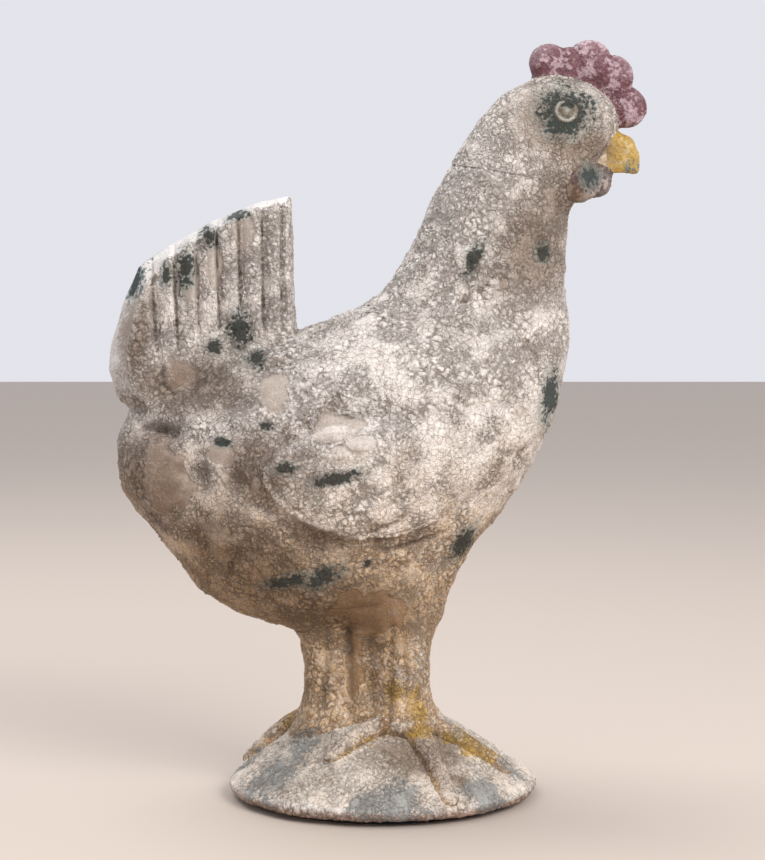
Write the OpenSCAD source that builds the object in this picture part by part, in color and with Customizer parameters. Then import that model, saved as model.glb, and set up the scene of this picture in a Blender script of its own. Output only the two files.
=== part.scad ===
// Standing hen: a cast garden ornament on a domed round base, built over a steel armature.
// The bird faces +X, its right side is -Y, and the origin is the centre of the base's underside.

/* [Overall] */
// Height from the ground to the top of the comb, which sets the size of the whole bird
total_h = 433; // [300:1:600]

/* [Base] */
// Diameter of the domed base, on a bird of nominal height
base_d = 178; // [164:1:196]
// Height of the dome at its middle
base_h = 46; // [42:0.5:50]
// Thickness of the felt disc under the base
felt_t = 3; // [2:0.5:4]
// How far the felt disc stays back from the rim
felt_setback = 12; // [8:1:16]

/* [Body] */
// Share by which the bird's width is made wider or slimmer
width_factor = 1; // [0.9:0.01:1.1]
// Wall thickness of the hollow body and neck
wall = 12; // [9:0.5:14]
// How far the wings stand out of the body
wing_relief = 5; // [3:0.5:7]

/* [Tail] */
// Half thickness of the tail fan at its foot
tail_half_low = 27; // [22:0.5:32]
// Half thickness of the tail fan at its tip
tail_half_high = 17; // [14:0.5:20]
// Half thickness of the fan's outer edge
tail_edge_half = 7; // [5:0.5:9]
// Depth of the grooves between the tail feathers
tail_groove = 2.2; // [1:0.1:3]

/* [Legs] */
// Diameter of each leg
leg_d = 27; // [24:0.5:30]
// Sideways distance of each leg from the middle of the bird
leg_y = 26; // [24:0.5:28]
// Place of the right leg along the bird
right_leg_x = 14; // [10:0.5:16]
// Place of the left leg along the bird
left_leg_x = -32; // [-34:0.5:-28]
// Diameter of the toes where they leave the foot
toe_d = 15; // [13:0.5:17]

/* [Armature] */
// Diameter of the steel rods in the legs and the neck
rod_d = 8; // [6:0.5:10]
// Diameter of the steel pins that hold the tail
pin_d = 6; // [4:0.5:8]

/* [Hidden] */

nominal_h = 433;
size_factor = total_h / nominal_h;
base_r = base_d / 2;
leg_r = leg_d / 2;
rod_r = rod_d / 2;
pin_r = pin_d / 2;
rod_play = 0.15;    // radial room between a rod and the casting around it
around = 32;        // points round each section of the bird
smooth = 2;         // sections drawn for each section listed
far = 300;          // larger than the bird in any direction

cement = [0.80, 0.77, 0.71];
slate = [0.52, 0.57, 0.58];
crimson = [0.46, 0.22, 0.25];
ochre = [0.74, 0.62, 0.26];
teal = [0.24, 0.32, 0.33];
steel = [0.60, 0.61, 0.63];
felt = [0.14, 0.14, 0.15];

// The bird is a stack of upright sections, fanned from the belly to the forehead. Each runs
// from a point on the back line to a point on the breast line:
// [back x, back z, breast x, breast z, half width, how far the widest place lies forward]
SECTIONS = [
  [ -50,  94,   18,  94, 20,  0.00],
  [ -82, 102,   32, 103, 37,  0.00],
  [-107, 119,   42, 121, 52,  0.00],
  [-125, 142,   53, 144, 61,  0.02],
  [-144, 163,   70, 163, 66,  0.05],
  [-153, 182,   83, 183, 69,  0.08],
  [-153, 200,   94, 204, 70,  0.10],
  [-146, 217,  101, 222, 67,  0.12],
  [-128, 231,  105, 240, 62,  0.14],
  [-102, 243,  106, 256, 56,  0.14],
  [ -75, 252,  107, 269, 50,  0.12],
  [ -48, 261,  106, 280, 46,  0.08],
  [ -22, 271,  106, 290, 43,  0.04],
  [  -3, 284,  105, 300, 40,  0.02],
  [   9, 302,  105, 311, 38,  0.00],
  [  20, 321,  106, 323, 36, -0.02],
  [  29, 340,  107, 335, 34, -0.02],
  [  39, 359,  109, 346, 31, -0.02],
  [  49, 377,  115, 356, 28, -0.02],
  [  62, 393,  124, 364, 26,  0.00],
  [  78, 405,  131, 373, 24,  0.04],
  [  95, 410,  134, 382, 20,  0.06],
  [ 110, 408,  132, 390, 13,  0.04],
  [ 121, 402,  127, 397,  4,  0.00]
];
belly = 0;          // first section of the body
cavity_floor = 2;   // section where the body's hollow begins
neck_foot = 12;     // section where the neck sits on the body
head_foot = 17;     // section where the head sits on the neck
forehead = len(SECTIONS) - 1;

// Outline of the tail fan in side view, from the front foot over the tip to the rump: the
// outer edge, and the ridge where the ribbed face begins.
TAIL_EDGE = [
  [-46, 236], [-49, 262], [-51, 300], [-52, 342], [-71, 338], [-98, 327],
  [-122, 313], [-139, 301], [-148, 281], [-155, 258], [-157, 243], [-152, 227], [-120, 205]
];
TAIL_RIDGE = [
  [-49, 236], [-51, 262], [-53, 300], [-54, 337], [-71, 333], [-96, 321],
  [-117, 307], [-130, 294], [-138, 277], [-143, 258], [-144, 243], [-140, 229], [-112, 209]
];
tail_foot_z = 225;
tail_tip_z = 342;
// Grooves between the feathers: [x at the top, lean in degrees, height of the foot]
TAIL_GROOVES = [
  [-56, 0, 274], [-67, 1, 268], [-80.5, 1.5, 278], [-93.5, 2, 269], [-105, 2, 267],
  [-118.5, 3, 254], [-133, 5, 243]
];
face_slope = atan((tail_half_low - tail_half_high) / (tail_tip_z - tail_foot_z));

// Outline of the wing in side view, from the shoulder along the back edge to the tip.
WING_OUTLINE = [
  [66, 226], [52, 238], [27, 240], [-6, 229], [-36, 212], [-58, 198], [-65, 187],
  [-60, 175], [-44, 162], [-22, 153], [4, 152], [30, 160], [52, 177], [66, 202]
];

// Comb lobes: [x, z, radius]
COMB_LOBES = [[95, 415.5, 12], [106, 414, 12], [117.5, 416.5, 13], [131, 409, 12], [139, 391.5, 12]];
comb_half = 8.5;
// Wattle lobes on each side: [x, y, z, radius]
WATTLE_LOBES = [[109, -12, 350.5, 10.5], [113.5, -10.5, 346.5, 8.5], [122.5, -6.5, 348.5, 8]];

eye_at = [102.5, 0, 387.5];
eye_turn = 8;       // how far the eye looks forward
eye_tilt = 14;      // how far the eye looks up
eye_depth = 23.6;   // distance of the eye ring from the middle of the head
eye_ring_r = 6.6;
eye_ring_wire = 1.3;
eye_ball_r = 4.4;

// Profile of the dome above its own underside, which stands on the felt: [radius, height]
MOUND = [[22, base_h], [32, 42], [42, 37], [54, 30], [66, 22], [76, 14.5], [84, 9], [87.5, 6]];
MOUND_RIM = [[88, 4], [87.5, 1.5], [85.5, 0]];

// Toes in plan, from the leg to the tip: [reach along the bird, reach outward, extra height midway]
RIGHT_TOES = [[54, 4, 0], [23, 50, 0], [-42, 25, 0]];
LEFT_TOES = [[52, 2, 0], [22, 48, 0], [-46, -2, 3]];
toe_tip_d = 9;
toe_lift = 2.5;     // height of a toe's middle above the dome
ankle_d = 38;

// ---- curves and skins ----------------------------------------------------------------

// A smooth curve through a list of vectors, at u from 0 to the last index.
function curve(p, u) =
  let (
    n = len(p) - 1,
    i = min(floor(u), n - 1),
    t = u - i,
    a = p[max(i - 1, 0)], b = p[i], c = p[i + 1], d = p[min(i + 2, n)]
  )
  b + 0.5 * t * ((c - a) + t * ((2 * a - 5 * b + 4 * c - d) + t * (3 * (b - c) + d - a)));

function flip(list) = [for (i = [len(list) - 1 : -1 : 0]) list[i]];

// One section of the bird at place u of the stack, drawn in by inset on every side.
function section(u, inset = 0) =
  let (
    s = curve(SECTIONS, u),
    back = [s[0], s[1]],
    breast = [s[2], s[3]],
    middle = (back + breast) / 2,
    long = norm(breast - back) / 2,
    along = (breast - back) / (2 * long),
    reach = long - inset,
    half = s[4] * width_factor - inset
  )
  [for (k = [0 : around - 1])
    let (
      t = 360 * k / around,
      fore = cos(t) + s[5] * pow(sin(t), 2),
      m = middle + along * reach * fore
    )
    [m[0], half * sin(t), m[1]]];

// Sections from u = a to u = b, n of them for each listed one.
function stack(a, b, inset = 0, n = smooth) = [for (i = [0 : (b - a) * n]) section(a + i / n, inset)];

// A solid skinned over rings of equal length. A looped skin joins its last ring to its first.
module skin(rings, looped = false) {
  m = len(rings[0]);
  last = len(rings) - 1;
  points = [for (ring = rings) each ring];
  function at(i, k) = (i % len(rings)) * m + k % m;
  sides = [for (i = [0 : looped ? last : last - 1]) for (k = [0 : m - 1])
    each [[at(i, k), at(i + 1, k), at(i, k + 1)], [at(i, k + 1), at(i + 1, k), at(i + 1, k + 1)]]];
  caps = looped ? [] : [[for (k = [0 : m - 1]) at(0, k)], [for (k = [m - 1 : -1 : 0]) at(last, k)]];
  polyhedron(points, concat(sides, caps));
}

// Cast surfaces are evaluated as one mesh, cuts and all. A size of 0 keeps the real one.
module casting() { resize([0, 0, 0]) children(); }

// The bird without its tail, wings and features, grown by extra on every side.
module bird(extra = 0, a = belly, b = forehead) { skin(stack(a, b, -extra)); }

// A side of the bird: 1 is the left, -1 is the right.
module mirrored(side) { mirror([0, side > 0 ? 1 : 0, 0]) children(); }

// An outline in side view, as a slab from y = a to y = b.
module side_slab(outline, a, b) {
  translate([0, b, 0]) rotate([90, 0, 0]) linear_extrude(b - a) polygon(outline);
}

function round_outline(p, n) = [for (i = [0 : len(p) * n - 1])
  let (u = i / n, j = floor(u), t = u - j, m = len(p),
    a = p[(j + m - 1) % m], b = p[j], c = p[(j + 1) % m], d = p[(j + 2) % m])
  b + 0.5 * t * ((c - a) + t * ((2 * a - 5 * b + 4 * c - d) + t * (3 * (b - c) + d - a)))];

// ---- base ---------------------------------------------------------------------------

nominal_base_r = 88;
function to_base(profile) = [for (p = profile) [p[0] * base_r / nominal_base_r, p[1]]];
mound_top = to_base(concat([[0, base_h]], MOUND));

module mound_solid() {
  rotate_extrude($fn = 64) polygon(concat([[0, 0]], mound_top, to_base(MOUND_RIM)));
}

module base_mound() {
  color(slate) difference() {
    mound_solid();
    leg_bores();
  }
}

module felt_disc() {
  color(felt) translate([0, 0, -felt_t]) cylinder(r = base_r - felt_setback, h = felt_t, $fn = 64);
}

// ---- armature -----------------------------------------------------------------------

rod_foot_z = 16;
rod_top_z = 150;

module leg_rod(x, side, grow = 0) {
  translate([x, side * leg_y, rod_foot_z]) cylinder(r = rod_r + grow, h = rod_top_z - rod_foot_z, $fn = 24);
}

module leg_bores() {
  leg_rod(right_leg_x, -1, rod_play);
  leg_rod(left_leg_x, 1, rod_play);
}

neck_rod_foot = [52, 0, 190];
neck_rod_top = [92, 0, 384];

module neck_rod_shape(grow = 0) {
  d = neck_rod_top - neck_rod_foot;
  translate(neck_rod_foot) rotate([0, atan2(d[0], d[2]), 0])
    cylinder(r = rod_r + grow, h = norm(d), $fn = 24);
}

module tail_pins_shape(grow = 0) {
  for (x = [-112, -78])
    translate([x, 0, 222]) rotate([0, -8, 0]) cylinder(r = pin_r + grow, h = 66, $fn = 24);
}

// ---- legs and feet -------------------------------------------------------------------

shank_z = 58;
thigh_z = 116;

// Height of the dome at a distance r from its middle.
function mound_z(r) = lookup(r, mound_top);

// A leg is round at the shank and swells into a thigh that runs up inside the belly.
module leg_shape(x, side) {
  foot_z = mound_z(norm([x, leg_y]));
  translate([x, side * leg_y, foot_z])
    cylinder(r1 = leg_r + 2, r2 = leg_r - 1, h = shank_z - foot_z, $fn = 28);
  hull() {
    translate([x, side * leg_y, shank_z]) cylinder(r = leg_r - 1, h = 1, $fn = 28);
    translate([x - 5, side * (leg_y - 3), thigh_z]) sphere(r = leg_r + 4, $fn = 28);
  }
}

module leg(x, side, toes) {
  color(ochre) casting() difference() {
    leg_shape(x, side);
    mound_solid();
    mirrored(side) foot_shape(x, toes);
    bird(0, belly, neck_foot);
    leg_rod(x, side, rod_play);
  }
}

web_half = 26;
module web_shape() {
  ring = function (z, grow) [for (k = [0 : 27]) let (t = 360 * k / 28)
    [-9 + (36 + grow) * sign(cos(t)) * pow(abs(cos(t)), 0.7),
      (web_half + grow) * sign(sin(t)) * pow(abs(sin(t)), 0.7), z]];
  skin([ring(30, 8), ring(44, 3.5), ring(58, 0.5), ring(76, 0), ring(92, 1.5), ring(112, 5)]);
}

module leg_web() {
  color(cement) casting() difference() {
    web_shape();
    mound_solid();
    bird(0, belly, neck_foot);
    leg_shape(right_leg_x, -1);
    leg_shape(left_leg_x, 1);
    mirrored(-1) foot_shape(right_leg_x, RIGHT_TOES);
    mirrored(1) foot_shape(left_leg_x, LEFT_TOES);
  }
}

// A foot is a rounded ankle with toes that follow the dome down, each drawn as balls set
// closer together than they are wide.
balls = 6;
module foot_shape(x, toes) {
  translate([x, -leg_y, mound_z(norm([x, leg_y]))]) scale([1, 1, 0.5]) sphere(d = ankle_d, $fn = 24);
  for (toe = toes) for (i = [0 : balls - 1]) hull() for (t = [i / balls, (i + 1) / balls])
    let (px = x + toe[0] * t, py = -leg_y - toe[1] * t)
      translate([px, py, mound_z(norm([px, py])) + toe_lift * (1 - t / 2) + toe[2] * sin(180 * t)])
        scale([1, 1, 0.85]) sphere(d = toe_d + (toe_tip_d - toe_d) * t, $fn = 16);
}

module foot(x, side, toes) {
  color(ochre) casting() difference() {
    mirrored(side) foot_shape(x, toes);
    mound_solid();
    leg_rod(x, side, rod_play);
  }
}

// ---- body ----------------------------------------------------------------------------

// A vessel: closed under the belly and open at the top, where the neck sits on its rim.
module body_shell() {
  color(cement) casting() difference() {
    skin(concat(stack(belly, neck_foot), flip(stack(cavity_floor, neck_foot, wall, 1))));
    leg_bores();
    tail_pins_shape(rod_play);
  }
}

module wing(side) {
  color(cement) casting() intersection() {
    mirrored(side) side_slab(round_outline(WING_OUTLINE, 3), -far, -20);
    difference() {
      bird(wing_relief, cavity_floor, neck_foot);
      bird(0, belly, neck_foot);
    }
  }
}

// Half thickness of the tail's ribbed face at a height.
function tail_half(z) =
  tail_half_low + (tail_half_high - tail_half_low) * (z - tail_foot_z) / (tail_tip_z - tail_foot_z);

module tail_shape() {
  face = function (side) [for (p = TAIL_RIDGE) [p[0], side * tail_half(p[1]), p[1]]];
  edge = function (side) [for (p = TAIL_EDGE) [p[0], side * tail_edge_half, p[1]]];
  skin([face(1), edge(1), edge(-1), face(-1)]);
}

// V-shaped grooves run down both faces of the fan, parallel to the face. The square bar that
// cuts each one stands a little proud of the face.
groove_proud = 0.4;
module tail_grooves() {
  w = (tail_groove + groove_proud) * sqrt(2);
  for (side = [-1, 1]) for (g = TAIL_GROOVES)
    translate([g[0], side * (tail_half(tail_tip_z) + groove_proud), tail_tip_z])
      rotate([side * face_slope, -g[1], 0])
      translate([0, 0, g[2] - tail_tip_z]) rotate(45)
        translate([-w / 2, -w / 2, 0]) cube([w, w, tail_tip_z - g[2] + 2 * tail_groove]);
}

module tail_fan() {
  color(slate) casting() difference() {
    tail_shape();
    bird(0, cavity_floor, neck_foot);
    tail_pins_shape(rod_play);
    tail_grooves();
  }
}

module tail_pins() { color(steel) tail_pins_shape(); }

module neck_shell() {
  color(cement) skin(concat(stack(neck_foot, head_foot), flip(stack(neck_foot, head_foot, wall, 1))), true);
}

module neck_rod() { color(steel) neck_rod_shape(); }

// ---- head ----------------------------------------------------------------------------

module head_solid() { bird(0, head_foot, forehead); }

module head() {
  color(cement) casting() difference() {
    head_solid();
    neck_rod_shape(rod_play);
  }
}

module comb_shape() {
  for (lobe = COMB_LOBES)
    translate([lobe[0], 0, lobe[1]]) scale([1, comb_half / lobe[2], 1]) sphere(r = lobe[2], $fn = 28);
  hull() for (i = [0 : 2])
    translate([COMB_LOBES[i][0], 0, 404]) rotate([90, 0, 0])
      cylinder(r = 6, h = comb_half, center = true, $fn = 16);
}

module comb() {
  color(crimson) casting() difference() {
    comb_shape();
    head_solid();
    upper_beak_shape();
  }
}

module upper_beak_shape() {
  hull() {
    translate([130, 0, 371]) scale([1, 1, 1.05]) sphere(r = 7.6, $fn = 24);
    translate([138, 0, 370]) sphere(r = 6.2, $fn = 24);
    translate([142, 0, 364]) sphere(r = 4.8, $fn = 20);
    translate([144, 0, 356.5]) sphere(r = 2.8, $fn = 16);
  }
}

module upper_beak() {
  color(ochre) casting() difference() {
    upper_beak_shape();
    head_solid();
  }
}

module lower_beak_shape() {
  hull() {
    translate([126, 0, 361]) sphere(r = 6, $fn = 20);
    translate([136.5, 0, 357.5]) sphere(r = 2.8, $fn = 16);
  }
}

module lower_beak() {
  color(ochre) casting() difference() {
    lower_beak_shape();
    upper_beak_shape();
    head_solid();
  }
}

module wattle(side) {
  color(crimson) casting() difference() {
    intersection() {
      mirrored(side) union() {
        for (w = WATTLE_LOBES) translate([w[0], w[1], w[2]]) scale([1, 0.62, 1]) sphere(r = w[3], $fn = 24);
      }
      translate([0, side > 0 ? 0 : -far, 0]) cube(far * 2);
    }
    head_solid();
    upper_beak_shape();
    lower_beak_shape();
    bird(0, neck_foot, head_foot);
  }
}

// Places a feature on the side of the head, facing out along its own +Z.
module at_eye(side) {
  mirrored(side) translate([eye_at[0], -eye_depth * width_factor, eye_at[2]])
    rotate([90 - eye_tilt, 0, eye_turn]) children();
}

module eye_ring(side) {
  color(teal) at_eye(side) rotate_extrude($fn = 36)
    translate([eye_ring_r - eye_ring_wire, 0]) circle(r = eye_ring_wire, $fn = 16);
}

module eye(side) {
  color(teal) at_eye(side) translate([0, 0, -1.2]) scale([1, 1, 0.7]) sphere(r = eye_ball_r, $fn = 28);
}

// ---- nodes ---------------------------------------------------------------------------

// Stands a piece on the felt, at the chosen size.
module sized() { scale(size_factor) translate([0, 0, felt_t]) children(); }

sized() base_mound();
sized() felt_disc();
sized() leg_web();
sized() leg(right_leg_x, -1, RIGHT_TOES);  // right_leg
sized() leg(left_leg_x, 1, LEFT_TOES);  // left_leg
sized() foot(right_leg_x, -1, RIGHT_TOES);  // right_foot
sized() foot(left_leg_x, 1, LEFT_TOES);  // left_foot
sized() color(steel) leg_rod(right_leg_x, -1);  // right_leg_rod
sized() color(steel) leg_rod(left_leg_x, 1);  // left_leg_rod
sized() body_shell();
sized() wing(-1);  // right_wing
sized() wing(1);  // left_wing
sized() tail_fan();
sized() tail_pins();
sized() neck_shell();
sized() neck_rod();
sized() head();
sized() comb();
sized() upper_beak();
sized() lower_beak();
sized() wattle(-1);  // right_wattle
sized() wattle(1);  // left_wattle
sized() eye_ring(-1);  // right_eye_ring
sized() eye_ring(1);  // left_eye_ring
sized() eye(-1);  // right_eye
sized() eye(1);  // left_eye
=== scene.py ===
"""A cast garden hen on a domed base: a worn, crackled skin sculpted round the CAD frame.

Sculpting works in millimetres and the scene is in metres. +X is forward and +Z is up.
"""
import math

import bpy
import numpy as np
import openvdb as vdb
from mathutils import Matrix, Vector


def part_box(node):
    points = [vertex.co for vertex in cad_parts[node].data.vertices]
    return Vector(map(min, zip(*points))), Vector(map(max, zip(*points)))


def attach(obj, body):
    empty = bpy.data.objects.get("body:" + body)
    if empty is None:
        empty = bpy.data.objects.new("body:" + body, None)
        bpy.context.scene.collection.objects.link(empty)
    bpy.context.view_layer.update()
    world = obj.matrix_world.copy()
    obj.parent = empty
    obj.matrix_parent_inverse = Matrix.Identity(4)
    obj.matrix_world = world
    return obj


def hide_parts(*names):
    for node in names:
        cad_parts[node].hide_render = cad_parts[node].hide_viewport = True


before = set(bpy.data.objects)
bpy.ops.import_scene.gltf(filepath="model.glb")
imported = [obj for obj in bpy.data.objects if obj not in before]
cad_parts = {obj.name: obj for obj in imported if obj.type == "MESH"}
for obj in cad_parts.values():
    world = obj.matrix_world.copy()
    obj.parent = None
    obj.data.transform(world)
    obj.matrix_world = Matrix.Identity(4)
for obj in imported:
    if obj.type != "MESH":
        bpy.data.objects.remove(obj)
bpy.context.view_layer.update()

MM = 0.001
BAND = 16.0             # reach of the signed distances on each side of a surface, in mm
SOLID_CORE = -6.0       # distance given to what is filled in, in mm
FELT_HEIGHT = np.array([0, 0, 3])   # the casting stands this high; features are placed from its underside
SEAM_OVERLAP = 0.3      # how far each piece runs under its neighbour, in mm
BODY_VOXEL = 1.5     # size of the voxels for the whole bird, in mm
FACE_VOXEL = 0.7     # and for the head
DETAIL = 1     # how many times each quad is split in four


# ---- random patterns -----------------------------------------------------------------

def hashed(cell, seed):
    """A random number from 0 to 1 for each whole-number cell."""
    mixed = cell[..., 0] * 73856093 ^ cell[..., 1] * 19349663 ^ cell[..., 2] * 83492791
    mixed = (mixed ^ (seed * 668265263 + 374761393)) & 0xFFFFFFFF
    mixed = (mixed ^ (mixed >> 15)) * 739982445 & 0xFFFFFFFF
    mixed = (mixed ^ (mixed >> 12)) * 695872825 & 0xFFFFFFFF
    return ((mixed ^ (mixed >> 15)) & 0xFFFFFF) / float(0x1000000)


def noise(points, size, seed=0, octaves=1):
    """Smooth noise from about -1 to 1, with lumps of the given size in mm."""
    total = np.zeros(len(points))
    weight = 0.0
    for octave in range(octaves):
        place = points / (size / 2 ** octave)
        cell = np.floor(place).astype(np.int64)
        share = place - cell
        share = share * share * (3 - 2 * share)
        value = np.zeros(len(points))
        for corner in np.ndindex(2, 2, 2):
            nearness = np.prod(np.where(corner, share, 1 - share), axis=1)
            value += nearness * hashed(cell + corner, seed + octave)
        total += (2 * value - 1) / 2 ** octave
        weight += 1 / 2 ** octave
    return total / weight * 1.6


def plates(points, size, seed):
    """Random plates: how far each point is from its plate's edge in mm, and its plate's own number."""
    place = points / size
    cell = np.floor(place).astype(np.int64)
    nearest = np.full(len(points), 9.0)
    second = np.full(len(points), 9.0)
    number = np.zeros(len(points))
    for offset in np.ndindex(3, 3, 3):
        here = cell + offset - 1
        middle = here + np.stack([hashed(here, seed + axis) for axis in range(3)], axis=1)
        distance = ((place - middle) ** 2).sum(axis=1)
        closer = distance < nearest
        second = np.where(closer, nearest, np.minimum(second, distance))
        nearest = np.where(closer, distance, nearest)
        number = np.where(closer, hashed(here, seed + 5), number)
    return size * (np.sqrt(second) - np.sqrt(nearest)) / 2, number


def ramp(value, start, end):
    """0 up to start and 1 from end on, with a smooth rise between."""
    share = np.clip((value - start) / (end - start), 0, 1)
    return share * share * (3 - 2 * share)


# ---- voxels --------------------------------------------------------------------------

level_sets = {}


def level_set(node, voxel):
    """A CAD node's signed distance in mm, on voxels of the given size."""
    if (node, voxel) not in level_sets:
        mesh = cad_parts[node].data
        points = np.zeros(len(mesh.vertices) * 3, np.float32)
        mesh.vertices.foreach_get("co", points)
        mesh.calc_loop_triangles()
        triangles = np.zeros(len(mesh.loop_triangles) * 3, np.int32)
        mesh.loop_triangles.foreach_get("vertices", triangles)
        level_sets[node, voxel] = vdb.FloatGrid.createLevelSetFromPolygons(
            points.reshape(-1, 3) / MM, triangles=triangles.reshape(-1, 3).astype(np.uint32),
            transform=vdb.createLinearTransform(voxelSize=voxel), halfWidth=BAND / voxel)
    return level_sets[node, voxel]


def soften(field, spread):
    """A field blurred over spread voxels, which rounds edges and fills creases."""
    reach = int(math.ceil(2.5 * spread))
    steps = np.arange(-reach, reach + 1)
    weights = np.exp(-0.5 * (steps / spread) ** 2)
    weights /= weights.sum()
    for axis in range(3):
        padded = np.pad(field, [(reach, reach) if a == axis else (0, 0) for a in range(3)], mode="edge")
        blurred = np.zeros_like(field)
        for step, weight in zip(steps + reach, weights):
            window = [slice(None)] * 3
            window[axis] = slice(step, step + field.shape[axis])
            blurred += np.float32(weight) * padded[tuple(window)]
        field = blurred
    return field


def weld(first, second, fillet):
    """The union of two forms, with a fillet of about that many mm where they meet."""
    blend = np.clip(1 - np.abs(first - second) / fillet, 0, 1)
    blend *= np.clip((BAND - np.maximum(first, second)) / 5, 0, 1)
    return np.minimum(first, second) - blend * blend * fillet / 4


class Block:
    """A box of voxels round part of the bird, from one corner to the other in mm."""

    def __init__(self, low, high, voxel):
        self.voxel = voxel
        self.first = np.floor(np.array(low) / voxel).astype(int)
        last = np.ceil(np.array(high) / voxel).astype(int)
        self.shape = tuple(int(n) for n in last - self.first + 1)
        self.x = ((self.first[0] + np.arange(self.shape[0])) * voxel).astype(np.float32)[:, None, None]
        self.z = ((self.first[2] + np.arange(self.shape[2])) * voxel).astype(np.float32)[None, None, :]

    def solid(self, *nodes):
        """Signed distance to the nearest of the nodes."""
        field = np.full(self.shape, BAND, np.float32)
        for node in nodes:
            one = np.empty(self.shape, np.float32)
            level_set(node, self.voxel).copyToArray(one, ijk=tuple(int(i) for i in self.first))
            field = np.minimum(field, one)
        return field

    def filled(self, *nodes):
        """The nodes' outer form, with the hollow between their left and right walls filled in."""
        field = self.solid(*nodes)
        inside = field < 0
        between = np.maximum.accumulate(inside, 1) & np.maximum.accumulate(inside[:, ::-1], 1)[:, ::-1]
        hollow = soften((between & ~inside).astype(np.float32), 3 / self.voxel) > 0.02
        return np.where(hollow, np.float32(SOLID_CORE), field)

    def soft(self, spread, *nodes):
        """The nodes' field, blurred over spread mm."""
        return soften(self.solid(*nodes), spread / self.voxel)

    def sample(self, field, points):
        """A field's value at points in mm."""
        place = np.clip(points / self.voxel - self.first, 0, np.array(self.shape) - 1.001)
        cell = place.astype(int)
        share = place - cell
        flat = field.ravel()
        row, layer = self.shape[2], self.shape[1] * self.shape[2]
        value = np.zeros(len(points))
        for corner in np.ndindex(2, 2, 2):
            at = cell + corner
            index = at[:, 0] * layer + at[:, 1] * row + at[:, 2]
            value += np.prod(np.where(corner, share, 1 - share), axis=1) * flat[index]
        return value

    def outward(self, field, points):
        """The direction in which a field grows fastest at points."""
        step = 0.7 * self.voxel
        slope = np.stack([self.sample(field, points + step * axis) - self.sample(field, points - step * axis)
                          for axis in np.eye(3)], axis=1)
        return slope / np.maximum(np.linalg.norm(slope, axis=1, keepdims=True), 1e-9)


# ---- the bird's form -----------------------------------------------------------------

HOLLOW = ("body_shell", "neck_shell")
SCULPTED = [
    "base_mound", "leg_web", "right_leg", "left_leg", "right_foot", "left_foot", "body_shell",
    "right_wing", "left_wing", "tail_fan", "neck_shell", "head", "comb", "upper_beak",
    "lower_beak", "right_wattle", "left_wattle", "right_eye_ring", "left_eye_ring",
    "right_eye", "left_eye"]

# Small pieces set into the head: (nodes, how much they are softened, fillet round them), in mm.
TRIMS = [
    (("comb",), 0.7, 4.0),
    (("upper_beak",), 0.5, 2.5),
    (("lower_beak",), 0.8, 7.0),
    (("right_wattle", "left_wattle"), 1.0, 11.0),
    (("right_eye_ring", "left_eye_ring"), 0.4, 1.2),
    (("right_eye", "left_eye"), 0.3, 0.5),
]


def hen(block):
    """The whole bird and its base as one form, with soft welds where its pieces meet."""
    bird = soften(block.filled(*HOLLOW, "head"), 2.0 / block.voxel)
    shoulder = 4.5 * np.maximum(ramp(block.x, 15, 55), ramp(block.z, 205, 232))
    bird = weld(bird, block.soft(1.4, "right_wing", "left_wing") + shoulder, 6)
    bird = weld(bird, block.soft(0.8, "tail_fan"), 6)
    stand = weld(block.soft(1.5, "right_leg", "left_leg"), block.soft(2.0, "leg_web"), 11)
    stand = weld(stand, block.soft(0.9, "base_mound"), 10)
    stand = weld(stand, block.soft(0.8, "right_foot", "left_foot") - 0.6, 3.5)
    form = weld(bird, stand, 16)
    for nodes, softness, fillet in TRIMS:
        form = weld(form, block.soft(softness, *nodes), fillet)
    return form


class Form:
    """The bird's form over a block of voxels, and which piece owns which space."""

    def __init__(self, block):
        self.block = block
        self.field = hen(block)
        self.broad = soften(self.field, 3.0 / block.voxel)
        self.nearest = np.full(block.shape, BAND, np.float32)
        self.second = self.nearest.copy()
        self.owner = np.full(block.shape, -1, np.int8)
        for index, node in enumerate(SCULPTED):
            own = block.filled(node) if node in HOLLOW else block.solid(node)
            closer = own < self.nearest
            self.second = np.where(closer, self.nearest, np.minimum(self.second, own))
            self.nearest = np.where(closer, own, self.nearest)
            self.owner[closer] = index

    def piece(self, node):
        """Quads round the part of the form that belongs to a node, in mm."""
        low, high = (np.array(corner) / MM / self.block.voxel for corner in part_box(node))
        reach = BAND / self.block.voxel
        start = np.maximum(np.floor(low - reach).astype(int) - self.block.first, 0)
        end = np.ceil(high + reach).astype(int) - self.block.first + 1
        window = tuple(slice(s, max(e, s + 2)) for s, e in zip(start, end))
        own = (self.block.filled(node) if node in HOLLOW else self.block.solid(node))[window]
        mine = self.owner[window] == SCULPTED.index(node)
        others = np.where(mine, self.second[window], self.nearest[window])
        outside = (own - others) / 2 - SEAM_OVERLAP
        grid = vdb.FloatGrid(BAND)
        grid.copyFromArray(np.ascontiguousarray(np.maximum(self.field[window], outside)))
        points, quads = grid.convertToQuads(0)
        return (points.astype(float) + start + self.block.first) * self.block.voxel, quads.astype(np.int64)


# ---- relief --------------------------------------------------------------------------
# Features are placed in side view, as (x, z) in mm, and are cast alike into both sides.

# Grooves between the tail feathers: x at the fan's tip, lean in degrees, height of the foot.
TAIL_GROOVES = [
    (-133, 5, 243), (-118.5, 3, 254), (-105, 2, 267), (-93.5, 2, 269), (-80.5, 1.5, 278),
    (-67, 1, 268), (-56, 0, 274)]
FAN_TIP_Z = 342
FAN_FRONT_X = -50
FAN_BACK_X = -146.0
BEAK_ROOT_X = 127

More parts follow.
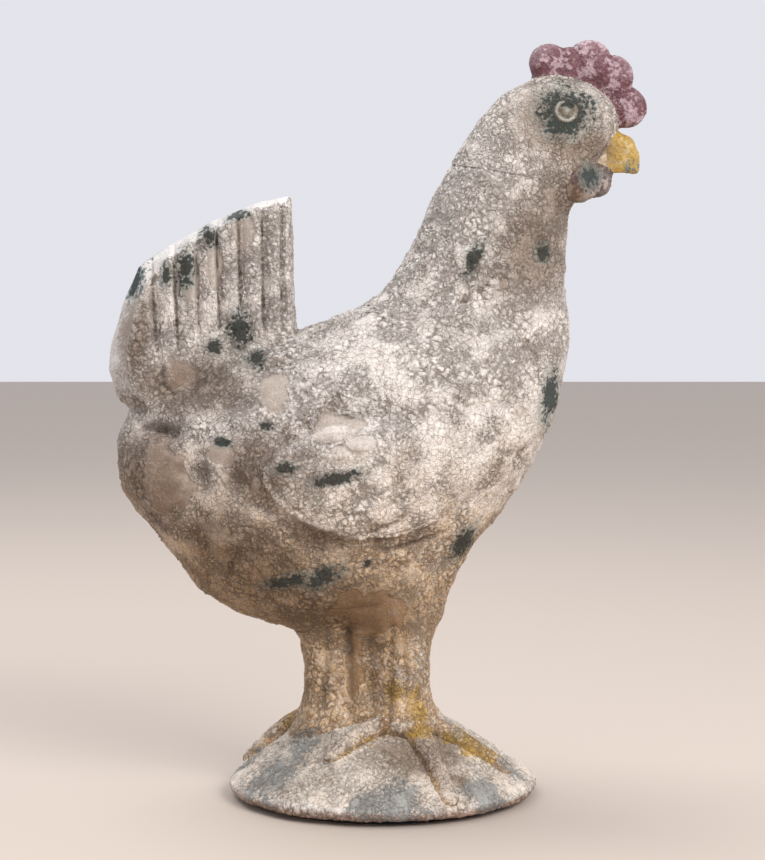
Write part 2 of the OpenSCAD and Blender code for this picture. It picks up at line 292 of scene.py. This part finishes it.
# Rounded coverts over the foot of the tail: x, z, half length, half height, rise.
COVERTS = [
    (-83, 271, 5.5, 6, 2.4), (-80, 260, 5, 5, 2.4), (-69, 249, 7, 5.5, 2.6), (-96, 256, 6, 7, 2.0),
    (-115, 240, 9, 10, 3.0), (-66, 233, 6, 9, 1.6), (-101, 228, 6, 7, 1.6), (-93, 222, 6, 6, 1.4),
    (-77, 217, 7, 7, 1.4), (-59, 231, 9, 9, 2.0), (-62, 266, 5, 9, 1.4), (-130, 228, 7, 8, 1.5)]

# Raised feathers on the shoulder and back of the wing.
SCAPULARS = [
    (-26, 212, 15, 7, 1.2), (-10, 205, 11, 5.5, 1.0), (-26, 200, 9, 5, 0.9), (8, 214, 13, 7, 1.1),
    (28, 220, 12, 8, 1.2), (46, 210, 9, 10, 1.0), (-44, 203, 10, 6, 1.3), (30, 196, 14, 8, 0.8),
    (-40, 222, 11, 6, 1.2), (14, 228, 12, 6, 1.0), (50, 232, 10, 7, 1.0), (64, 214, 8, 10, 0.9)]

# Swellings of the plumage: rump, flank and thigh.
SWELLINGS = [
    (-128, 186, 20, 24, 3.5), (-84, 150, 34, 20, 1.8), (-20, 122, 26, 12, 1.5), (60, 250, 22, 24, 1.5)]

# Grooves of the wing's lower feathers and the creases round rump and flank: points, depth, half width.
CREASES = [
    ([(-64, 190), (-60, 179), (-50, 168), (-34, 160)], 2.2, 2.6),
    ([(-31, 163), (-12, 165), (7, 171), (26, 180)], 1.9, 1.9),
    ([(-25, 151), (-4, 155), (10, 162), (24, 171)], 2.2, 1.8),
    ([(-15, 148.5), (6, 152), (24, 158), (38, 168)], 2.2, 1.8),
    ([(-4, 144), (13, 145), (28, 150), (42, 159)], 2.0, 1.8),
    ([(-58, 196), (-40, 196), (-22, 193), (-4, 196)], 1.5, 1.9),
    ([(-40, 206), (-26, 204), (-12, 198), (4, 200)], 1.0, 1.8),
    ([(-150, 219), (-136, 213), (-120, 209), (-104, 211)], 3.2, 6.0),
    ([(-108, 208), (-100, 194), (-98, 178), (-103, 162)], 2.0, 6.0),
    ([(-84, 196), (-78, 182), (-66, 168), (-52, 158)], 1.6, 5.0)]

# Upright folds in the cement between the legs: x at the base, x at the belly, depth, half width.
FOLDS = [(-18, -19, 2.3, 3.2), (-34, -32, 1.8, 3.0), (3, 4, 2.4, 2.4), (-7, -6, 1.5, 2.4), (13, 12, 1.5, 2.0)]


def bumps(points, listed):
    """Height of the highest of the listed bumps, each a low oval mound."""
    height = np.zeros(len(points))
    for x, z, length, tall, rise in listed:
        away = ((points[:, 0] - x) / length) ** 2 + ((points[:, 2] - z) / tall) ** 2
        height = np.maximum(height, rise * np.sqrt(np.clip(1 - away, 0, 1)))
    return height


def along_line(points, line):
    """Distance in side view to a line through the given points, and how far along it the nearest place is."""
    nearest = np.full(len(points), 1e3)
    progress = np.zeros(len(points))
    side = points[:, [0, 2]]
    pieces = len(line) - 1
    for index, (start, end) in enumerate(zip(np.array(line[:-1], float), np.array(line[1:], float))):
        along = end - start
        share = np.clip(((side - start) @ along) / (along @ along), 0, 1)
        distance = np.linalg.norm(side - start - share[:, None] * along, axis=1)
        progress = np.where(distance < nearest, (index + share) / pieces, progress)
        nearest = np.minimum(nearest, distance)
    return nearest, progress


def creases(points):
    """Depth of the deepest crease, each fading out at its two ends."""
    depth = np.zeros(len(points))
    for line, deep, half in CREASES:
        distance, progress = along_line(points, line)
        fade = ramp(np.minimum(progress, 1 - progress), -0.05, 0.3)
        depth = np.maximum(depth, deep * fade * np.exp(-(distance / half) ** 2))
    return depth


def tail_ribs(points):
    """Feathers that each rise towards their front edge and drop into a groove there."""
    x, z = points[:, 0], points[:, 2]
    height = np.zeros(len(points))
    start = np.full(len(points), FAN_BACK_X)
    for tip_x, lean, foot in TAIL_GROOVES + [(FAN_FRONT_X + 4, 0, 262)]:
        edge = tip_x + math.tan(math.radians(lean)) * (FAN_TIP_Z - z)
        share = np.clip((x - start) / (edge - start), 0, 1)
        rib = 2.4 * ramp(share, 0.02, 0.7) - 4.6 * ramp(share, 0.74, 0.93) + 2.2 * ramp(share, 0.95, 1.0)
        height = np.where((x > start) & (x <= edge), rib * ramp(z, foot - 10, foot + 3), height)
        start = edge
    return height * ramp(z, 236, 256)


def folds(points):
    """Depth of the upright folds between the legs."""
    x, z = points[:, 0], points[:, 2]
    depth = np.zeros(len(points))
    for foot_x, top_x, deep, half in FOLDS:
        middle = foot_x + (top_x - foot_x) * ramp(z, 45, 100) + 1.2 * noise(points, 22, 31)
        depth = np.maximum(depth, deep * np.exp(-((x - middle) / half) ** 2))
    return depth * ramp(z, 38, 50) * (1 - ramp(z, 92, 108))


def relief(points, normals):
    """Cast relief in mm: feathers, folds and lumpy plumage."""
    z = points[:, 2]
    side_on = ramp(np.abs(normals[:, 1]), 0.35, 0.75)
    body = ramp(z, 88, 110)
    in_tail = ramp(-points[:, 0], 46, 52) * ramp(z, 238, 262)
    height = side_on * (tail_ribs(points) * in_tail + bumps(points, COVERTS) * body)
    plumage = bumps(points, SCAPULARS) + bumps(points, SWELLINGS) - creases(points)
    height += side_on * body * (1 - in_tail) * plumage
    height -= ramp(np.abs(normals[:, 1]), 0.2, 0.6) * folds(points)
    lumps = 0.9 * noise(points, 17, 11) + 0.6 * noise(points, 7, 12)
    return height + lumps * (0.5 + 0.5 * ramp(z, 55, 110)) * (1 - 0.7 * in_tail)


# ---- worn paint ----------------------------------------------------------------------
# Soft fields over the surface: x, z, half length, half height, lean in degrees.

SMOOTH_PATCHES = [
    (-26, 212, 15, 7, 10), (-10, 205, 11, 5, 10), (-24, 200, 9, 4.5, 5), (-59, 231, 10, 10, 0),
    (-115, 240, 9, 9, 0), (-120, 184, 17, 20, 0), (-7, 108, 24, 14, 0), (-78, 320, 6, 12, 0),
    (-95, 300, 5, 14, 0), (-107, 290, 5, 16, 0), (-88, 196, 9, 8, 0), (-16, 70, 7, 22, 0)]

# Where the limewash is thick and little cracked, and where it is darkened by soiling and by painted shade: rump,
# flank, belly, under the wing, throat and head.
CALM_PATCHES = [
    (98, 385, 34, 34, 0), (30, 195, 75, 36, 10), (85, 215, 24, 45, -20), (0, 250, 45, 16, -15),
    (60, 170, 40, 18, 30)]
GRIME_AND_SHADE_PATCHES = [
    (-66, 184, 18, 14, 0), (-40, 152, 24, 9, -20), (-130, 180, 26, 36, 20), (-110, 234, 48, 18, 0),
    (-140, 262, 12, 34, -10), (-40, 118, 75, 26, -12), (-70, 190, 20, 24, 0), (100, 336, 18, 24, 0),
    (84, 312, 24, 34, 0), (112, 366, 24, 18, 0), (96, 384, 30, 26, 0), (106, 370, 20, 10, 0),
    (-75, 145, 55, 24, -25), (20, 30, 30, 12, 0)]

# Dark teal stains.
TEAL_PATCHES = [
    (50, 304, 5, 13, -25), (90, 309, 5, 7, 0), (94, 228, 7, 19, -10), (45, 146, 6, 14, -25),
    (-25, 186, 17, 4.5, 12), (-53, 191, 8, 4, 8), (-52, 127, 17, 5, 15), (-33, 130, 13, 6, 25),
    (-8, 137, 3, 3, 0), (-88, 204, 6, 3.5, 0), (-95, 256, 6, 5, 0), (-80, 266, 8, 13, 0),
    (-70, 249, 6.5, 5.5, 0), (-111, 299, 6, 15, 0), (-98, 318, 7, 8, 30), (-122, 295, 4, 9, 0),
    (102.5, 387.5, 18, 17, 0), (117, 352, 7, 8, 0), (-83, 330, 10, 4, 20), (-140, 292, 4, 12, -15),
    (-63, 214, 5, 3, 0)]

# Dabs of slate blue and of mustard: x, y, z, radius.
SLATE_DABS = [
    (-66, -46, 24, 26), (-48, -30, 36, 14), (8, -82, 12, 18), (-8, -84, 10, 12), (58, -62, 14, 17), (74, -22, 24, 16),
    (-60, 50, 22, 22), (20, 78, 14, 20), (66, 44, 18, 17), (-80, 8, 16, 14), (-140, -8, 292, 13), (-140, 8, 292, 13),
    (-132, 0, 306, 9), (141, 0, 358, 6)]
MUSTARD_DABS = [
    (4, -38, 62, 8), (20, -40, 62, 7), (22, -41, 52, 8), (22, -42, 40, 9), (38, -28, 36, 9), (50, -29, 31, 11),
    (60, -30, 26, 7), (0, -35, 38, 8), (-12, -42, 34, 9), (-22, -48, 29, 7), (20, -39, 38, 8), (-48, 24, 84, 9),
    (-46, 26, 66, 8), (-18, 40, 60, 8), (-20, 42, 46, 8), (0, 28, 38, 9), (-22, 50, 30, 9), (-55, 26, 33, 9)]


def patch_field(points, listed, seed):
    """1 in the middle of the nearest listed patch and 0 at its edge. The far side's are shifted."""
    far_side = ramp(points[:, 1], -4, 4)
    x = points[:, 0] + far_side * 14 * noise(points, 70, seed)
    z = points[:, 2] + far_side * 14 * noise(points, 70, seed + 1)
    field = np.full(len(points), -1.0)
    for middle_x, middle_z, length, tall, lean in listed:
        c, s = math.cos(math.radians(lean)), math.sin(math.radians(lean))
        along = (x - middle_x) * c + (z - middle_z) * s
        across = (z - middle_z) * c - (x - middle_x) * s
        field = np.maximum(field, 1 - np.sqrt((along / length) ** 2 + (across / tall) ** 2))
    return field


def crackle(points, bare):
    """Flaked limewash: its height in mm, how much of it is left, and how far each place is cracked."""
    warped = points + 1.8 * np.stack([noise(points, 4.0, 40 + axis, 2) for axis in range(3)], axis=1)
    wide, number = plates(warped, 4.4, 50)
    narrow, small = plates(warped, 2.4, 55)
    calm = np.clip(patch_field(points, CALM_PATCHES, 66) * 1.6 + 0.5 * noise(points, 15, 65, 2), 0, 0.85)
    crack = np.maximum((1 - ramp(wide, 0.1, 0.7)) * np.clip(0.75 + 1.2 * noise(points, 11, 63, 2) - calm, 0, 1),
                       (1 - ramp(narrow, 0.05, 0.45)) * np.clip(0.55 + noise(points, 9, 64) - calm, 0, 1))
    smooth = np.clip(bare * 3 + 0.5, 0, 1)
    crack *= 1 - 0.85 * smooth
    left = ramp(noise(points, 21, 60, 4) + 0.4 * (number - 0.5) + 0.75 - 1.6 * smooth, -0.2, 0.2)
    grains = ramp(narrow, 0.0, 0.8) * 0.3 * small + 0.22 * noise(points, 3.0, 61, 2) + 0.35 * (number - 0.5)
    height = left * 0.35 - crack * 0.7 + grains * (1 - 0.85 * smooth) * (1 - 0.6 * calm)
    return height - 0.3, left, crack


def dab_field(points, listed):
    """1 in the middle of the nearest listed dab and 0 at its edge: x, y, z and radius in mm."""
    field = np.full(len(points), -1.0)
    for *middle, radius in listed:
        field = np.maximum(field, 1 - np.linalg.norm(points - middle, axis=1) / radius)
    return field


# ---- meshes --------------------------------------------------------------------------

def split_quads(points, quads):
    """Each quad split in four."""
    ends = np.stack([quads, np.roll(quads, -1, axis=1)], axis=-1).reshape(-1, 2)
    ends.sort(axis=1)
    keys, edge = np.unique(ends[:, 0] * np.int64(len(points)) + ends[:, 1], return_inverse=True)
    halves = (points[keys // len(points)] + points[keys % len(points)]) / 2
    middle = len(points) + edge.reshape(-1, 4)
    centre = len(points) + len(halves) + np.arange(len(quads))
    parts = [np.stack([quads[:, i], middle[:, i], centre, middle[:, i - 1]], axis=1) for i in range(4)]
    return np.concatenate([points, halves, points[quads].mean(axis=1)]), np.concatenate(parts)


def mesh_object(name, points, quads, attributes):
    """A smooth quad mesh from points in mm, with a value of each attribute at each of them."""
    mesh = bpy.data.meshes.new(name)
    mesh.vertices.add(len(points))
    mesh.vertices.foreach_set("co", (points * MM).astype(np.float32).ravel())
    mesh.loops.add(quads.size)
    mesh.loops.foreach_set("vertex_index", quads.astype(np.int32).ravel())
    mesh.polygons.add(len(quads))
    mesh.polygons.foreach_set("loop_start", np.arange(0, quads.size, 4, dtype=np.int32))
    mesh.polygons.foreach_set("use_smooth", np.ones(len(quads), bool))
    for key, values in attributes.items():
        mesh.attributes.new(key, "FLOAT", "POINT").data.foreach_set("value", values.astype(np.float32))
    mesh.update(calc_edges=True)
    mesh.validate()
    piece = bpy.data.objects.new(name, mesh)
    bpy.context.scene.collection.objects.link(piece)
    return piece


def find_wear_and_highlight_strip(node, place, normals):
    """Where paint has worn smooth and is lighter: at the root of the beak, and on the tail's upper and rear edges,
    where the lighter colour is a painted highlight on faces turned up and back.
    """
    x, z = place[:, 0], place[:, 2]
    if node.endswith("beak"):
        return ramp(-x + 1.5 * noise(place, 4, 75), -BEAK_ROOT_X - 3, -BEAK_ROOT_X)
    upper = np.maximum(ramp(z, 256, 268), ramp(z, 222, 236) * ramp(-x, 124, 134))
    wear_and_highlight_strip = upper * ramp(-x, 44, 50) * (1 - ramp(np.abs(normals[:, 1]), 0.6, 0.85))
    return wear_and_highlight_strip * (1 - ramp(normals[:, 0], 0.3, 0.7))


def sculpt(form, node, rough):
    """A piece in the shape of its CAD node, welded to its neighbours and worked over."""
    block = form.block
    points, quads = form.piece(node)
    for _ in range(DETAIL):
        points, quads = split_quads(points, quads)
    depth = block.sample(form.field, points)
    outer = ramp(depth, -1.6 * block.voxel, -0.5 * block.voxel)
    normals = block.outward(form.field, points)
    points -= normals * (depth * outer)[:, None]
    bend = block.sample(form.broad, points)
    place = points - FELT_HEIGHT
    bare = patch_field(place, SMOOTH_PATCHES, 70) + 0.45 * noise(place, 10, 72, 3) - 0.1
    raised = relief(place, normals)
    wear_and_highlight_strip = find_wear_and_highlight_strip(node, place, normals)
    lift, flake, crack = crackle(place, np.maximum(bare, wear_and_highlight_strip - 0.7))
    moved = ramp(depth, -8, -1)
    points += normals * (moved * rough * (lift + raised))[:, None]
    points[:, 2] = np.maximum(points[:, 2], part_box(node)[0].z / MM)
    attributes = {
        "flake": flake, "crack": crack, "raised": raised, "bare": bare, "bend": bend, "wear_and_highlight_strip": wear_and_highlight_strip,
        "grime_and_shade": patch_field(place, GRIME_AND_SHADE_PATCHES, 85),
        "teal": patch_field(place, TEAL_PATCHES, 80) - (2 if "eye" in node else 0),
        "slate": dab_field(place, SLATE_DABS), "mustard": dab_field(place, MUSTARD_DABS)}
    return mesh_object(node + "_cast", points, quads, attributes)


# ---- paint ---------------------------------------------------------------------------

def shade(red, green, blue):
    """A colour given in the usual 0 to 255 steps, as the linear light that a shader wants."""
    steps = [channel / 255 for channel in (red, green, blue)]
    return tuple(s / 12.92 if s <= 0.04045 else ((s + 0.055) / 1.055) ** 2.4 for s in steps) + (1,)


class Signal:
    """A value that varies over a surface. Sums with it are written as plain arithmetic."""

    def __init__(self, paint, socket):
        self.paint, self.socket = paint, socket

    def math(self, operation, *values, clamp=False):
        return self.paint.node("ShaderNodeMath", {"operation": operation, "use_clamp": clamp},
                               dict(enumerate(values)))

    def __add__(self, other):
        return self.math("ADD", self, other)

    def __radd__(self, other):
        return self.math("ADD", other, self)

    def __sub__(self, other):
        return self.math("SUBTRACT", self, other)

    def __rsub__(self, other):
        return self.math("SUBTRACT", other, self)

    def __mul__(self, other):
        return self.math("MULTIPLY", self, other)

    def __rmul__(self, other):
        return self.math("MULTIPLY", other, self)

    def ramp(self, start, end):
        """0 up to start and 1 from end on, with a smooth rise between."""
        return self.paint.node("ShaderNodeMapRange", {"interpolation_type": "SMOOTHSTEP"},
                               {"Value": self, "From Min": start, "From Max": end})


class Paint:
    """One material, built from nodes."""

    def __init__(self, name):
        self.material = bpy.data.materials.new(name)
        self.material.use_nodes = True
        self.tree = self.material.node_tree
        self.shader = self.tree.nodes["Principled BSDF"]
        self.place = self.node("ShaderNodeTexCoord", {}, {}, "Object")

    def node(self, kind, settings, inputs, output=0):
        """Adds a node and gives back one of its outputs."""
        made = self.tree.nodes.new(kind)
        for key, value in settings.items():
            setattr(made, key, value)
        for key, value in inputs.items():
            self.connect(value, made.inputs[key])
        return Signal(self, made.outputs[output])

    def connect(self, value, socket):
        if isinstance(value, Signal):
            self.tree.links.new(value.socket, socket)
        else:
            socket.default_value = value

    def attribute(self, name):
        return self.node("ShaderNodeAttribute", {"attribute_name": name}, {}, "Fac")

    def noise(self, size, detail=2.0, offset=0.0):
        """Noise about 0.5, with lumps of the given size in mm."""
        place = self.node("ShaderNodeVectorMath", {"operation": "ADD"}, {0: self.place, 1: (offset,) * 3})
        return self.node("ShaderNodeTexNoise", {},
                         {"Vector": place, "Scale": 1 / (size * MM), "Detail": detail}, "Fac")

    def cracks(self, size, warp):
        """Distance from the edges of random plates, as a share of their size."""
        bend = self.node("ShaderNodeTexNoise", {},
                         {"Vector": self.place, "Scale": 0.7 / (size * MM), "Detail": 2.0}, "Color")
        bend = self.node("ShaderNodeVectorMath", {"operation": "SCALE"}, {0: bend, "Scale": warp * size * MM})
        place = self.node("ShaderNodeVectorMath", {"operation": "ADD"}, {0: self.place, 1: bend})
        return self.node("ShaderNodeTexVoronoi", {"feature": "DISTANCE_TO_EDGE"},
                         {"Vector": place, "Scale": 1 / (size * MM)}, "Distance")

    def mix(self, share, first, second):
        """From the first colour to the second as share goes from 0 to 1."""
        return self.node("ShaderNodeMix", {"data_type": "RGBA"}, {0: share, 6: first, 7: second}, 2)

    def finish(self, colour, roughness, height=None, depth=0.0):
        """Feeds the shader and gives back the material. depth is the bump's, in mm."""
        self.connect(colour, self.shader.inputs["Base Color"])
        self.connect(roughness, self.shader.inputs["Roughness"])
        if height is not None:
            bump = self.node("ShaderNodeBump", {},
                             {"Strength": 1.0, "Distance": depth * MM, "Height": height}, "Normal")
            self.connect(bump, self.shader.inputs["Normal"])
        return self.material


# Colours shared by several paints.
CRACK = shade(58, 43, 30)
MUSTARD = shade(190, 150, 58)
SLATE = shade(84, 103, 108)
# brown of soiling and of painted shade, laid on the rump, belly, under the wing and round the throat
GRIME_AND_SHADE = shade(106, 79, 52)
RUST = shade(142, 100, 74)
WASH = shade(128, 138, 132)


def limewash(name, flakes, ground, stain, crack=CRACK, pale_wear_and_highlight=shade(222, 217, 213), hidden=0.0, cracked=1.0,
             speckled=0.0, edge_wear_and_highlight=0.5, blotchy=0.8, gloss=0.66):
    """Crackled, flaking paint over a ground colour, with stains, and soiling and painted shade darkening the hollows.

    flakes and ground each hold a tone for the top of the bird and one for its underside, and flakes
    a last one for the palest chips; the underside tones are warmer and darker, partly the paint's own
    colour and partly painted shade and warm bounce light. stain is the colour of the teal patches and
    pale that of the smooth strips, worn at the root of the beak and painted as a highlight along the
    tail's upper and rear edges. hidden is how much paint has gone, cracked how strong the cracks are,
    speckled how much shows as specks, edge_wear_and_highlight how much paler the edges are, with edge wear and
    painted highlight, and blotchy how uneven the wear is.
    """
    paint = Paint(name)
    flake, gaps, bare, wear_and_highlight_strip = (paint.attribute(key) for key in ("flake", "crack", "bare", "wear_and_highlight_strip"))
    raised, bend = paint.attribute("raised"), paint.attribute("bend")
    height = paint.node("ShaderNodeSeparateXYZ", {}, {0: paint.place}, "Z")
    broad, lump, fine, grain = (paint.noise(size, 3, size) for size in (38, 8, 2.2, 0.9))
    lines, hair = paint.cracks(3.3, 1.4), paint.cracks(1.6, 1.0)
    # Painted shade and warm bounce light, together with the paint's own warmer tone: low on the bird, flakes and
    # ground take their darker, warmer underside tones and fewer palest chips show.
    low = 1 - (height + (broad - 0.5) * 0.08).ramp(0.11, 0.23)
    rough = (1 - bare.ramp(-0.15, 0.2)) * (1 - wear_and_highlight_strip * 0.7)
    patchy = (fine - 0.5) * 1.9 + (lump - 0.5) * 1.4

    under = paint.mix(low, ground[0], ground[1])
    under = paint.mix(fine.ramp(0.45, 0.72) * 0.35, under, flakes[0])
    top = paint.mix(low, flakes[0], flakes[1])
    top = paint.mix((lump * 0.3 + fine * 0.7).ramp(0.44, 0.62) * (0.7 - 0.35 * low), top, flakes[2])
    top = paint.mix((lump * 0.4 + broad * 0.6).ramp(0.52, 0.4) * 0.3, top, under)
    worn = (flake + (fine - 0.5) * 1.5 + (lump - 0.5) * blotchy - hidden).ramp(0.25, 0.6)
    colour = paint.mix(worn, under, top)
    # Painted highlight on the tail's upper and rear edges, and worn paint at the root of the beak.
    colour = paint.mix(wear_and_highlight_strip * 0.85, colour, pale_wear_and_highlight)
    # Worn edges and painted highlight: convex edges and raised relief are painted toward the palest chips.
    edge = (bend * 0.9 + raised * 0.07 + (fine - 0.5) * 0.8).ramp(0.25, 0.9)
    colour = paint.mix(edge * edge_wear_and_highlight, colour, flakes[2])
    # Soiling and painted shade: the rump, flank, belly, the underside of the wing, the throat and the head are
    # darkened toward brown.
    grime_and_shade = (paint.attribute("grime_and_shade") + patchy * 0.7).ramp(-0.2, 0.6)
    colour = paint.mix(grime_and_shade * (0.7 - 0.25 * edge), colour, GRIME_AND_SHADE)

    colour = paint.mix((1 - (height + (fine - 0.5) * 0.006).ramp(0.005, 0.01)) * 0.75, colour, RUST)
    colour = paint.mix((paint.attribute("slate") + patchy).ramp(0.1, 0.3) * (0.9 - 0.3 * worn), colour, SLATE)
    colour = paint.mix((paint.attribute("mustard") + patchy).ramp(0.1, 0.35) * 0.8, colour, MUSTARD)
    teal = paint.attribute("teal")
    colour = paint.mix((teal + patchy * 0.6).ramp(-0.35, 0.25) * 0.5, colour, WASH)
    colour = paint.mix((teal + patchy).ramp(0.12, 0.5) * 0.95, colour, stain)

    network = (1 - (lines + (lump - 0.5) * 0.18).ramp(0.0, 0.06)) * 0.5 * rough
    network = network + (1 - (hair + (fine - 0.5) * 0.32).ramp(0.0, 0.08)) * 0.25
    network = network + gaps * 0.85 + grain.ramp(0.42, 0.28) * (0.15 + 0.4 * rough)
    network = network + fine.ramp(0.38, 0.28) * 0.5 * rough
    colour = paint.mix(network.math("MULTIPLY", network, cracked, clamp=True) * 0.68, colour, crack)
    colour = paint.mix(grain.ramp(0.5, 0.68) * speckled, colour, flakes[0])
    # Soiling and painted shade: hollows, creases and low relief are darkened toward the crack colour.
    hollow_shade_and_dirt = (raised * -0.5 + bend * -0.7 + (fine - 0.5) * 0.6).ramp(0.35, 1.7)
    colour = paint.mix(hollow_shade_and_dirt * 0.8, colour, crack)

    surface = lines.ramp(0, 0.12) * 0.35 * rough + worn * 0.3 + fine * (0.3 + 0.5 * rough)
    surface = surface + grain * 0.45 + hair.ramp(0, 0.12) * 0.15
    return paint.finish(colour, gloss + 0.2 * fine, surface, 0.75 * cracked + 0.1)


CHIPS = shade(238, 231, 224)
# The second tone of each is the underside's: warmer and darker, partly the paint's own colour and partly painted
# shade and warm bounce light.
CREAM = (shade(212, 202, 193), shade(202, 168, 128), CHIPS)
TAUPE = (shade(176, 163, 152), shade(150, 116, 80))
TEAL = shade(34, 47, 43)
BURGUNDY = (shade(98, 54, 60),) * 2
OCHRE = (shade(172, 136, 54), shade(150, 120, 60))
PAINTS = {
    "aged_cement": limewash("aged cement", CREAM, TAUPE, TEAL),
    # The base's second tones are for its lower parts: partly the paint's own colour and partly painted shade.
    "base_paint": limewash("base paint", (shade(228, 220, 210), shade(224, 210, 194), CHIPS),
                           (TAUPE[0], shade(160, 142, 122)), TEAL, cracked=0.8),
    "leg_paint": limewash("leg paint", CREAM, TAUPE, TEAL, hidden=0.1),
    "comb_paint": limewash("comb paint", (shade(160, 132, 138),) * 2 + (shade(190, 166, 172),),
                           BURGUNDY, shade(70, 92, 88), crack=shade(66, 36, 40), hidden=0.7,
                           cracked=0.4, speckled=0.25, edge_wear_and_highlight=0.3, blotchy=3.0, gloss=0.5),
    "beak_paint": limewash("beak paint", (shade(196, 168, 100),) * 2 + (shade(208, 186, 136),),
                           OCHRE, shade(120, 112, 100), pale_wear_and_highlight=shade(206, 190, 166), hidden=0.7,
                           cracked=0.3, edge_wear_and_highlight=0.2, gloss=0.45),
    "wattle_paint": limewash("wattle paint", (shade(148, 134, 126),) * 2 + (shade(176, 160, 152),),
                             (shade(70, 52, 54),) * 2, shade(36, 48, 46), crack=shade(34, 28, 26),
                             hidden=0.65, cracked=0.4, speckled=0.1, edge_wear_and_highlight=0.3, blotchy=3.0, gloss=0.5),
    "eye_paint": limewash("eye paint", (shade(150, 158, 152),) * 2 + (shade(196, 202, 196),),
                          (shade(66, 84, 82),) * 2, shade(74, 92, 90), crack=shade(24, 32, 32),
                          hidden=0.8, cracked=0.3, speckled=0.25, edge_wear_and_highlight=0.9, gloss=0.4),
}


def plain(name, colour, roughness, metallic, grain):
    """A material of one colour, speckled with grain of the given size in mm."""
    paint = Paint(name)
    paint.shader.inputs["Metallic"].default_value = metallic
    speckle = paint.noise(grain, 3)
    tone = paint.mix(speckle, tuple(0.6 * c for c in colour[:3]) + (1,), colour)
    return paint.finish(tone, roughness, speckle, 0.3)


STEEL = plain("armature steel", shade(150, 148, 146), 0.45, 1.0, 3.0)
FELT = plain("felt", shade(46, 46, 50), 0.95, 0.0, 0.6)

# ---- pieces --------------------------------------------------------------------------

# Each sculpted piece: its slot, and how rough its crackle and relief are.
FINISH = {
    "base_mound": ("base_paint", 0.8), "leg_web": ("aged_cement", 0.8),
    "right_leg": ("leg_paint", 0.8), "left_leg": ("leg_paint", 0.8),
    "right_foot": ("leg_paint", 0.7), "left_foot": ("leg_paint", 0.7),
    "body_shell": ("aged_cement", 1.0), "right_wing": ("aged_cement", 0.8), "left_wing": ("aged_cement", 0.8),
    "tail_fan": ("aged_cement", 0.9), "neck_shell": ("aged_cement", 1.0), "head": ("aged_cement", 0.55),
    "comb": ("comb_paint", 0.4), "upper_beak": ("beak_paint", 0.3), "lower_beak": ("beak_paint", 0.3),
    "right_wattle": ("wattle_paint", 0.4), "left_wattle": ("wattle_paint", 0.4),
    "right_eye_ring": ("eye_paint", 0.15), "left_eye_ring": ("eye_paint", 0.15),
    "right_eye": ("eye_paint", 0.1), "left_eye": ("eye_paint", 0.1)}


whole = Form(Block((-168, -96, 0), (150, 96, 440), BODY_VOXEL))
face = Form(Block((40, -46, 325), (150, 46, 440), FACE_VOXEL))
SMALL = {"head"} | {node for nodes, _, _ in TRIMS for node in nodes}

for node, (slot, rough) in FINISH.items():
    piece = sculpt(face if node in SMALL else whole, node, rough)
    piece.data.materials.append(PAINTS[slot])
    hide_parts(node)
    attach(piece, "root")

for node, material in [("felt_disc", FELT)] + [(rod, STEEL) for rod in
                                               ("right_leg_rod", "left_leg_rod", "tail_pins", "neck_rod")]:
    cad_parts[node].data.materials.clear()
    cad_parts[node].data.materials.append(material)

# ---- stage ---------------------------------------------------------------------------

FLOOR_SIDE = 12.0       # in metres, as are all places from here on
WORLD_STRENGTH = 0.92
bpy.ops.mesh.primitive_plane_add(size=FLOOR_SIDE, location=(0, 0, 0))
floor = bpy.context.object
floor.name = "floor"
floor_paint = Paint("floor")
floor_paint.finish(shade(190, 177, 165), 0.7)
floor.data.materials.append(floor_paint.material)


def area_light(name, place, target, size, power, colour):
    """A square lamp at a place, turned to its target. size is in metres and power in watts."""
    data = bpy.data.lights.new(name, "AREA")
    data.size = size
    data.energy = power
    data.color = colour
    light = bpy.data.objects.new(name, data)
    light.location = place
    light.rotation_euler = (Vector(target) - Vector(place)).to_track_quat("-Z", "Y").to_euler()
    bpy.context.scene.collection.objects.link(light)


area_light("key", (0.95, -1.3, 1.2), (0, 0, 0.22), 0.9, 31, (1.0, 0.985, 0.965))
area_light("top", (-0.7, 0.5, 1.7), (0, 0, 0.25), 1.2, 20, (0.98, 0.99, 1.0))

world = bpy.data.worlds.new("studio")
world.use_nodes = True
world.node_tree.nodes["Background"].inputs["Color"].default_value = shade(236, 237, 244)
world.node_tree.nodes["Background"].inputs["Strength"].default_value = WORLD_STRENGTH
bpy.context.scene.world = world
bpy.context.scene.view_settings.view_transform = "Standard"

CAMERA_HEIGHT = 0.2877
CAMERA_DISTANCE = 1.243
CAMERA_PITCH = 3.55     # degrees below level
CAMERA_LENS = 90.67     # mm, for a sensor 36 mm wide
camera = bpy.data.objects.new("camera", bpy.data.cameras.new("camera"))
camera.data.lens = CAMERA_LENS
camera.data.sensor_width = 36
camera.location = (0, -CAMERA_DISTANCE, CAMERA_HEIGHT)
camera.rotation_euler = (math.radians(90 - CAMERA_PITCH), 0, 0)
bpy.context.scene.collection.objects.link(camera)
bpy.context.scene.camera = camera

bpy.context.view_layer.update()
